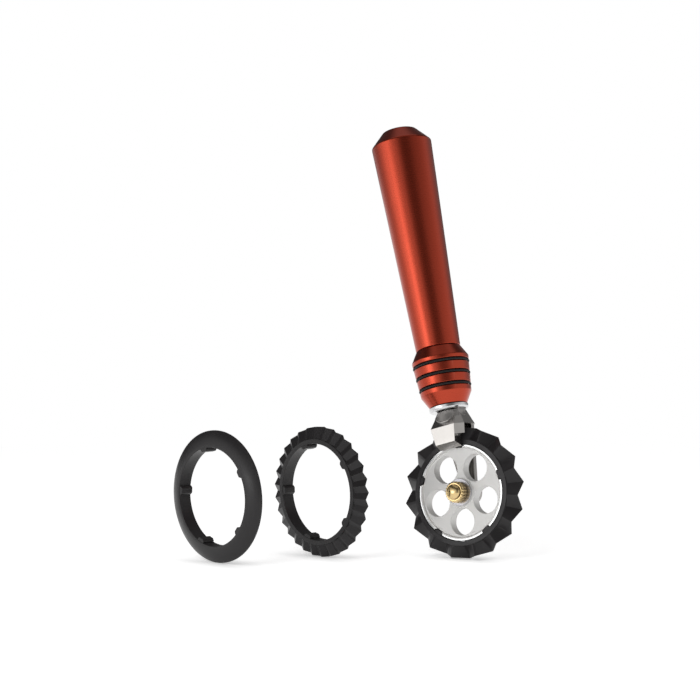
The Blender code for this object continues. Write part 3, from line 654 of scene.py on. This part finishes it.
def one_tooth(teeth, swing, land):
    """One tooth of a ring, from one front corner of its edge to the next."""
    tooth = bmesh.new()
    half = math.pi / teeth
    land_angle = land / 2 / RING_LIP
    offsets = [0, half, 2 * half]
    if land:
        offsets = [0, land_angle, half - land_angle, half, half + land_angle, 2 * half - land_angle, 2 * half]
    corners = [wheel_point(RING_RADIUS, 0, -swing), wheel_point(RING_RADIUS, half, swing),
               wheel_point(RING_RADIUS, 2 * half, -swing)]

    def drop(share):
        """How far the side is sunk below the lip, from a land at 0 to the deepest of a flute at 1."""
        first = land_angle / half
        return LAND_DROP + (FLUTE_DROP - LAND_DROP) * max(0, share - first) / (1 - first)

    to_edge = Vector((0, EDGE_HALF, 0))
    rows = []
    for offset in offsets:
        share = 1 - abs(offset / half - 1)
        if offset <= half:
            edge = corners[0].lerp(corners[1], offset / half)
        else:
            edge = corners[1].lerp(corners[2], offset / half - 1)
        row = [wheel_point(RING_BORE, offset, RING_HALF), wheel_point(RING_BORE, offset, -RING_HALF),
               wheel_point(RING_LIP, offset, -RING_HALF),
               wheel_point(RING_LIP, offset, drop(share) - RING_HALF), edge - to_edge, edge + to_edge,
               wheel_point(RING_LIP, offset, RING_HALF - drop(1 - share)),
               wheel_point(RING_LIP, offset, RING_HALF)]
        rows.append([tooth.verts.new(point) for point in row])
    for near, far in zip(rows, rows[1:]):
        for index in range(len(near)):
            after = (index + 1) % len(near)
            tooth.faces.new((near[index], near[after], far[after], far[index]))
    return plain_mesh("one_tooth", tooth)


def with_lugs(ring_mesh, finish):
    """A ring with the lugs on its bore that drive it, one under every fifth part of its turn."""
    lug = key_block(LUG_INSIDE, LUG_OUTSIDE, LUG_HALF, LUG_CORNER, end=LUG_END)
    lug = eased(lug, MOULD_EDGE, segments=2)
    return joined(ring_mesh, 'UNION', set_round(lug, LUG_COUNT, finish))


# Black glass-filled nylon, moulded: near black with a soft sheen, a fine grain from the mould, faint flow
# clouds, and edges rubbed a little paler.
MOULD_GRAIN = 0.3 * MM
FLOW = 9 * MM
nylon, tree, shader, axes = new_material("black_moulded_nylon", wheel_place)
shader.inputs["IOR"].default_value = 1.53
shader.inputs["Specular IOR Level"].default_value = 0.3
grain = add_node(tree, "ShaderNodeTexNoise", {"Vector": axes, "Scale": 1 / MOULD_GRAIN, "Detail": 3})
flow = add_node(tree, "ShaderNodeTexNoise", {"Vector": axes, "Scale": 1 / FLOW, "Detail": 4})
base = add_node(tree, "ShaderNodeMix", {0: flow.outputs["Fac"], 6: linear("#242223"), 7: linear("#2c2a2b")},
                data_type='RGBA')
tone = add_node(tree, "ShaderNodeMix", {0: worn_edges(tree, 0.5), 6: base.outputs[2], 7: linear("#3a3839")},
                data_type='RGBA')
dulled = add_node(tree, "ShaderNodeMapRange", {"Value": flow.outputs["Fac"], "From Min": 0.3,
                                              "From Max": 0.7, "To Min": 0.3, "To Max": 0.4})
relief = add_node(tree, "ShaderNodeBump", {"Height": grain.outputs["Fac"], "Strength": 0.15,
                                          "Distance": 0.03 * MM})
feed(tree, shader, {"Base Color": tone.outputs[2], "Roughness": dulled.outputs["Result"],
                    "Normal": relief.outputs["Normal"]})
ZIGZAG_TEETH = 15
ZIGZAG_SWING = 3.1 * MM
ZIGZAG_LAND = 2.2 * MM
zigzag = set_round(one_tooth(ZIGZAG_TEETH, ZIGZAG_SWING, ZIGZAG_LAND), ZIGZAG_TEETH, nylon)
zigzag = eased(zigzag, MOULD_EDGE, segments=2)
finish_piece("zigzag_ring_moulded", with_lugs(zigzag, nylon), wheel_place, nylon, "wheel",
             "zigzag_ring")

# Washers on the axle: a thin one under the screw's head and a thicker one between the hub and the arm.
# They are punched from steel sheet, tumbled and zinc plated.
WASHER_BORE = 2.8 * MM
WASHER_EDGE = 0.15 * MM
# Each washer: its name, radius, front and back, and the body that it rides on
WASHERS = [("axle_washer", 6.2 * MM, -4.4 * MM, -3.8 * MM, "axle_washer"),
           ("arm_washer", 5.0 * MM, 3.8 * MM, 4.6 * MM, "tool")]

# Zinc plate on steel: a bluish grey that is duller than polished steel, in fine spangles.
SPANGLE = 0.8 * MM
zinc, tree, shader, axes = new_material("zinc_plated_steel", tool_place)
shader.inputs["Metallic"].default_value = 1.0
spangles = add_node(tree, "ShaderNodeTexVoronoi", {"Vector": axes, "Scale": 1 / SPANGLE})
tone = add_node(tree, "ShaderNodeMix", {0: spangles.outputs["Distance"], 6: linear("#a5a4a9"),
                                       7: linear("#b6b5b9")}, data_type='RGBA')
dulled = add_node(tree, "ShaderNodeMapRange", {"Value": spangles.outputs["Distance"], "To Min": 0.24,
                                              "To Max": 0.4})
relief = add_node(tree, "ShaderNodeBump", {"Height": spangles.outputs["Distance"], "Strength": 0.1,
                                          "Distance": 0.03 * MM})
feed(tree, shader, {"Base Color": tone.outputs[2], "Roughness": dulled.outputs["Result"],
                    "Normal": relief.outputs["Normal"]})
for name, radius, front, back, body in WASHERS:
    washer_outline = [(WASHER_BORE, front), (radius, front), (radius, back), (WASHER_BORE, back)]
    washer_mesh = lathe(softened(washer_outline, WASHER_EDGE), segments=96, along='Y')
    finish_piece(name + "_punched", washer_mesh, tool_place, zinc, body, name)

# Axle screw: the brass thumb screw that the wheel turns on, with a plain axle, a knurled head and a domed
# end. It is turned from bar, and its head is knurled straight.
KNOB_RIDGES = 22
RIDGE_STEPS = 6
KNOB_RADIUS = 4.9 * MM
KNURL_DEPTH = 0.45 * MM
# Below 1, so that the furrows of the knurl are wider than its ridges
KNURL_POWER = 0.8
KNOB_BEVEL = 0.4 * MM
KNOB_BACK = -4.7 * MM
KNOB_FRONT = -9.1 * MM
AXLE_RADIUS = 2.5 * MM
THREAD_RADIUS = 2.0 * MM
SCREW_SHOULDER = 4.6 * MM
SCREW_END = 7.7 * MM
SCREW_CHAMFER = 0.3 * MM
DOME_RADIUS = 3.5 * MM
DOME_RISE = 1.7 * MM
DOME_GROOVE = 0.5 * MM
DOME_STEPS = 12
knob_end = KNOB_RADIUS - KNURL_DEPTH - KNOB_BEVEL
dome_base = KNOB_FRONT - DOME_GROOVE
# Each point of the screw's outline: radius, place along the axle, and the depth of the knurl there
screw_profile = [(0, SCREW_END, 0), (THREAD_RADIUS - SCREW_CHAMFER, SCREW_END, 0),
                 (THREAD_RADIUS, SCREW_END - SCREW_CHAMFER, 0), (THREAD_RADIUS, SCREW_SHOULDER, 0),
                 (AXLE_RADIUS, SCREW_SHOULDER, 0), (AXLE_RADIUS, KNOB_BACK, 0), (knob_end, KNOB_BACK, 0),
                 (KNOB_RADIUS, KNOB_BACK - KNOB_BEVEL, KNURL_DEPTH),
                 (KNOB_RADIUS, KNOB_FRONT + KNOB_BEVEL, KNURL_DEPTH), (knob_end, KNOB_FRONT, 0),
                 (DOME_RADIUS - DOME_GROOVE, KNOB_FRONT, 0), (DOME_RADIUS - DOME_GROOVE, dome_base, 0)]
for step in range(DOME_STEPS):
    lift = math.pi / 2 * step / DOME_STEPS
    screw_profile.append((DOME_RADIUS * math.cos(lift), dome_base - DOME_RISE * math.sin(lift), 0))
screw_profile.append((0, dome_base - DOME_RISE, 0))
ridge = bmesh.new()
rows = []
for step in range(RIDGE_STEPS + 1):
    share = step / RIDGE_STEPS
    sink = abs(math.sin(math.pi * share)) ** KNURL_POWER
    angle = FULL_TURN * share / KNOB_RIDGES
    rows.append([ridge.verts.new(wheel_point(radius - depth * sink, angle, place))
                 for radius, place, depth in screw_profile])
for near, far in zip(rows, rows[1:]):
    for index in range(len(near) - 1):
        ridge.faces.new((near[index], near[index + 1], far[index + 1], far[index]))
bmesh.ops.remove_doubles(ridge, verts=ridge.verts, dist=WELD)
one_ridge = plain_mesh("one_ridge", ridge)

# Free-cutting brass, polished and unlacquered: warm yellow, with painted shade that makes the knurl's furrows
# darker and browner.
TARNISH = 1.5 * MM
brass, tree, shader, axes = new_material("polished_brass", tool_place)
shader.inputs["Metallic"].default_value = 1.0
patches = add_node(tree, "ShaderNodeTexNoise", {"Vector": axes, "Scale": 1 / TARNISH, "Detail": 4})
# Painted shade: where the surface bends inward, in the knurl's furrows, the brass is mixed towards a dark brown
surface = add_node(tree, "ShaderNodeNewGeometry")
furrow_shade = add_node(tree, "ShaderNodeMapRange", {"Value": surface.outputs["Pointiness"], "From Min": 0.5,
                                              "From Max": 0.44})
clean = add_node(tree, "ShaderNodeMix", {0: patches.outputs["Fac"], 6: linear("#cfb27c"),
                                        7: linear("#e2ca98")}, data_type='RGBA')
tone = add_node(tree, "ShaderNodeMix", {0: furrow_shade.outputs["Result"], 6: clean.outputs[2],
                                       7: linear("#8c6242")}, data_type='RGBA')
dulled = add_node(tree, "ShaderNodeMapRange", {"Value": patches.outputs["Fac"], "To Min": 0.14,
                                              "To Max": 0.3})
feed(tree, shader, {"Base Color": tone.outputs[2], "Roughness": dulled.outputs["Result"]})
screw_mesh = set_round(one_ridge, KNOB_RIDGES, brass)
finish_piece("axle_screw_knurled", screw_mesh, tool_place, brass, "axle_screw", "axle_screw")

# Spare smooth ring: the plain cutter that stands on the table, moulded in the same nylon. Its sides bow over
# a full nose to a thin edge.
SMOOTH_ROLL = math.radians(33.0)
SMOOTH_RADIUS = 29.95 * MM
SMOOTH_LIP = 1.0 * MM
NOSE = 2.6 * MM
NOSE_HALF = 2.6 * MM
NOSE_STEPS = 14


def standing_place(node, roll):
    """Where a spare ring stands: its CAD node's middle, with its own roll."""
    low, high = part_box(node)
    return Matrix.Translation((low + high) / 2) @ Matrix.Rotation(-roll, 4, 'Y')


smooth_place = standing_place("smooth_ring", SMOOTH_ROLL)
start = Vector((RING_BORE + SMOOTH_LIP, RING_HALF))
nose = Vector((RING_RADIUS - NOSE, NOSE_HALF))
end = Vector((SMOOTH_RADIUS, EDGE_HALF))
side = []
for step in range(NOSE_STEPS + 1):
    share = step / NOSE_STEPS
    side.append(start.lerp(nose, share).lerp(nose.lerp(end, share), share))
# The two corners of the bore are eased by one point between the start and the end of each
between = 0.3 * MOULD_EDGE
smooth_outline = [Vector((RING_BORE, MOULD_EDGE - RING_HALF)), Vector((RING_BORE, RING_HALF - MOULD_EDGE)),
                  Vector((RING_BORE + between, RING_HALF - between)),
                  Vector((RING_BORE + MOULD_EDGE, RING_HALF))]
smooth_outline += side
smooth_outline += [Vector((point.x, -point.y)) for point in reversed(side)]
smooth_outline += [Vector((RING_BORE + MOULD_EDGE, -RING_HALF)),
                   Vector((RING_BORE + between, between - RING_HALF))]
smooth_mesh = with_lugs(lathe(smooth_outline, segments=180, along='Y'), nylon)
finish_piece("smooth_ring_moulded", smooth_mesh, smooth_place, nylon, "smooth_ring",
             "smooth_ring")

# Spare fine ring: the small-toothed cutter that stands behind it, made as the zigzag one is, with twice the
# teeth, less swing and no lands. Its teeth are set a part of a pitch on from its lugs.
FINE_ROLL = math.radians(38.5)
FINE_TEETH = 30
FINE_SWING = 0.95 * MM
FINE_TOOTH_TURN = math.radians(7.0)
fine_place = standing_place("fine_ring", FINE_ROLL)
fine = set_round(one_tooth(FINE_TEETH, FINE_SWING, 0), FINE_TEETH, nylon)
fine.transform(Matrix.Rotation(-FINE_TOOTH_TURN, 4, 'Y'))
fine = eased(fine, MOULD_EDGE, segments=2)
finish_piece("fine_ring_moulded", with_lugs(fine, nylon), fine_place, nylon, "fine_ring",
             "fine_ring")

# Studio: a pale floor under the wheel and rings, a white surround for the camera, a soft lamp from the left
# and a weak one from the right. Reflections see a room: pale walls with a low bright window on the left,
# a dark gap by the camera and a grey ceiling.
FLOOR_REACH = 6.0
FLOOR_CELLS = 8
floor_height = cad_box[0][2]
floor_shape = bmesh.new()
bmesh.ops.create_grid(floor_shape, x_segments=FLOOR_CELLS, y_segments=FLOOR_CELLS, size=FLOOR_REACH,
                      matrix=Matrix.Translation((0, 0, floor_height)))
floor_mesh = plain_mesh("floor", floor_shape)
floor_object = hold("floor", floor_mesh)

# White paper, lit till it is almost pure white: what shows of it is the soft shadow under each piece, and a
# painted shadow, the dark line where a piece touches it, for which the paper's glow is dimmed where the floor is
# closed in. Far from the tool it goes over into plain white.
SHADOW_REACH = 0.3
CONTACT_REACH = 0.012
CONTACT_SAMPLES = 8
CONTACT_GLOW = 0.16
OPEN_GLOW = 0.58
PAPER_SEEN = 0.95
WHITE = linear("#ffffff")
paper = bpy.data.materials.new("white_paper_sweep")
paper.use_nodes = True
tree = paper.node_tree
tree.nodes.clear()


def grey(tone):
    """A grey of the given brightness, as linear red, green, blue and alpha."""
    return (tone, tone, tone, 1)


def seen_rays(tree, path):
    """One for a ray of the camera or of a reflection, or through glass, and zero for light that spreads."""
    seen = add_node(tree, "ShaderNodeMath",
                    {0: path.outputs["Is Camera Ray"], 1: path.outputs["Is Glossy Ray"]}, operation='MAXIMUM')
    seen = add_node(tree, "ShaderNodeMath", {0: seen.outputs[0], 1: path.outputs["Is Transmission Ray"]},
                    operation='MAXIMUM')
    return seen.outputs[0]


seen_ray = seen_rays(tree, add_node(tree, "ShaderNodeLightPath"))
where = add_node(tree, "ShaderNodeTexCoord")
away = add_node(tree, "ShaderNodeVectorMath", {0: where.outputs["Object"]}, operation='LENGTH')
far = add_node(tree, "ShaderNodeMapRange", {"Value": away.outputs["Value"], "From Min": SHADOW_REACH,
                                           "From Max": 2 * SHADOW_REACH}, interpolation_type='SMOOTHSTEP')
matt = add_node(tree, "ShaderNodeBsdfDiffuse", {"Color": linear("#e4e4e4")})
faint = add_node(tree, "ShaderNodeBsdfDiffuse", {"Color": grey(PAPER_SEEN)})
# Painted shadow: the paper's glow is dimmed where a piece stands within the contact reach of the floor
open_air = add_node(tree, "ShaderNodeAmbientOcclusion", {"Distance": CONTACT_REACH}, samples=CONTACT_SAMPLES)
contact_shadow_glow = add_node(tree, "ShaderNodeMapRange", {"Value": open_air.outputs["AO"], "To Min": CONTACT_GLOW,
                                              "To Max": OPEN_GLOW})
glow = add_node(tree, "ShaderNodeEmission", {"Color": WHITE, "Strength": contact_shadow_glow.outputs["Result"]})
white = add_node(tree, "ShaderNodeEmission", {"Color": WHITE, "Strength": 1.0})
near = add_node(tree, "ShaderNodeAddShader", {0: faint.outputs[0], 1: glow.outputs[0]})
lit = add_node(tree, "ShaderNodeMixShader", {0: far.outputs["Result"], 1: near.outputs[0],
                                            2: white.outputs[0]})
mixed = add_node(tree, "ShaderNodeMixShader", {0: seen_ray, 1: matt.outputs[0], 2: lit.outputs[0]})
add_node(tree, "ShaderNodeOutputMaterial", {"Surface": mixed.outputs[0]})
floor_mesh.materials.append(paper)

# The room that reflections see, set round the way that the camera looks. The camera itself sees plain
# white, and light that spreads sees an even, dimmer white.
CAMERA_HEADING = (-0.7087, 0.7055, 0)
AMBIENT = 0.4
# Brightness of the room's walls, by degrees round from the camera towards its right
WALLS = [(-180, 0.1), (-150, 0.06), (-128, 0.06), (-112, 0.35), (-100, 0.85), (-88, 1.3), (-82, 1.8),
         (-68, 2.0), (-62, 4.0), (-48, 4.0), (-41, 1.3), (-26, 0.9), (-14, 0.4), (-5, 0.2), (14, 0.2),
         (28, 0.4), (40, 0.85), (62, 0.88), (84, 0.8), (104, 0.75), (116, 0.5), (128, 0.35), (150, 0.2),
         (180, 0.1)]
# The bright window on the left is low: the most that a wall has above it, and the degrees where it ends
WINDOW_MOST = 0.95
WINDOW_TOP = (10, 14)
# Tone above the walls and of the ceiling, with the degrees between which each takes over
ABOVE = [(0.08, 20, 36), (0.52, 50, 64), (0.32, 68, 80)]
level = Vector(CAMERA_HEADING).normalized()
to_camera = -level
to_right = level.cross(Vector((0, 0, 1)))
surround = bpy.data.worlds.new("white_surround")
bpy.context.scene.world = surround
surround.use_nodes = True
tree = surround.node_tree
tree.nodes.clear()
path = add_node(tree, "ShaderNodeLightPath")
seen_ray = seen_rays(tree, path)
where = add_node(tree, "ShaderNodeTexCoord")
ahead = add_node(tree, "ShaderNodeVectorMath", {0: where.outputs["Generated"], 1: to_camera},
                 operation='DOT_PRODUCT')
aside = add_node(tree, "ShaderNodeVectorMath", {0: where.outputs["Generated"], 1: to_right},
                 operation='DOT_PRODUCT')
round_room = add_node(tree, "ShaderNodeMath", {0: aside.outputs["Value"], 1: ahead.outputs["Value"]},
                      operation='ARCTAN2')
share_round = add_node(tree, "ShaderNodeMapRange", {"Value": round_room.outputs[0], "From Min": -math.pi,
                                                   "From Max": math.pi})
walls = add_node(tree, "ShaderNodeValToRGB", {"Fac": share_round.outputs["Result"]})
stops = walls.color_ramp.elements
for degrees, _ in WALLS[1:-1]:
    stops.new((degrees + 180) / 360)
for stop, (_, tone) in zip(stops, WALLS):
    stop.color = grey(tone)
split = add_node(tree, "ShaderNodeSeparateXYZ", {"Vector": where.outputs["Generated"]})
room_tone = walls.outputs["Color"]
upper = add_node(tree, "ShaderNodeMath", {0: room_tone, 1: WINDOW_MOST}, operation='MINIMUM')
bands = [(upper.outputs[0], *WINDOW_TOP)]
bands += [(grey(tone), start, full) for tone, start, full in ABOVE]
for tone, start, full in bands:
    over = add_node(tree, "ShaderNodeMapRange",
                    {"Value": split.outputs["Z"], "From Min": math.sin(math.radians(start)),
                     "From Max": math.sin(math.radians(full))}, interpolation_type='SMOOTHSTEP')
    mixed = add_node(tree, "ShaderNodeMix", {0: over.outputs["Result"], 6: room_tone, 7: tone},
                     data_type='RGBA')
    room_tone = mixed.outputs[2]
white = add_node(tree, "ShaderNodeBackground", {"Color": WHITE, "Strength": 1.0})
dim = add_node(tree, "ShaderNodeBackground", {"Color": WHITE, "Strength": AMBIENT})
room = add_node(tree, "ShaderNodeBackground", {"Color": room_tone, "Strength": 1.0})
mixed = add_node(tree, "ShaderNodeMixShader", {0: seen_ray, 1: dim.outputs[0], 2: room.outputs[0]})
mixed = add_node(tree, "ShaderNodeMixShader", {0: path.outputs["Is Camera Ray"], 1: mixed.outputs[0],
                                              2: white.outputs[0]})
add_node(tree, "ShaderNodeOutputWorld", {"Surface": mixed.outputs[0]})

# The camera, fitted to the photo: its place from the wheel's middle in metres, its tilt down, and its lens
# and sensor in millimetres
CAMERA_OFFSET = Vector((0.6532, -0.7241, 0.1099))
CAMERA_PITCH = math.radians(2.61)
LENS = 109.6
SENSOR = 36
look = level * math.cos(CAMERA_PITCH) - Vector((0, 0, math.sin(CAMERA_PITCH)))
camera_data = bpy.data.cameras.new("photo_camera")
camera_data.sensor_width = SENSOR
camera_data.lens = LENS
camera_object = hold("photo_camera", camera_data)
camera_object.location = tool_place.translation + CAMERA_OFFSET
camera_object.rotation_euler = look.to_track_quat('-Z', 'Y').to_euler()
bpy.context.scene.camera = camera_object
bpy.context.scene.view_settings.view_transform = 'Standard'

# Each lamp: its name, degrees round from the camera towards its right and degrees up, its distance, width
# and height in metres, and its power in watts
LAMPS = [("key", -30, 32, 0.9, 0.38, 0.5, 2.3), ("fill", 75, 25, 1.2, 0.8, 0.8, 0.8)]
LAMP_AIM = Vector((0.01, -0.02, -0.06))
for name, azimuth, elevation, distance, width, tall, power in LAMPS:
    swing = math.radians(azimuth)
    raised = math.radians(elevation)
    way = (to_camera * math.cos(swing) + to_right * math.sin(swing)) * math.cos(raised)
    way.z = math.sin(raised)
    lamp = bpy.data.lights.new(name + "_softbox", 'AREA')
    lamp.shape = 'RECTANGLE'
    lamp.size = width
    lamp.size_y = tall
    lamp.energy = power
    lamp_object = hold(name + "_softbox", lamp)
    lamp_object.visible_glossy = False
    lamp_object.location = LAMP_AIM + way * distance
    lamp_object.rotation_euler = (-way).to_track_quat('-Z', 'Y').to_euler()
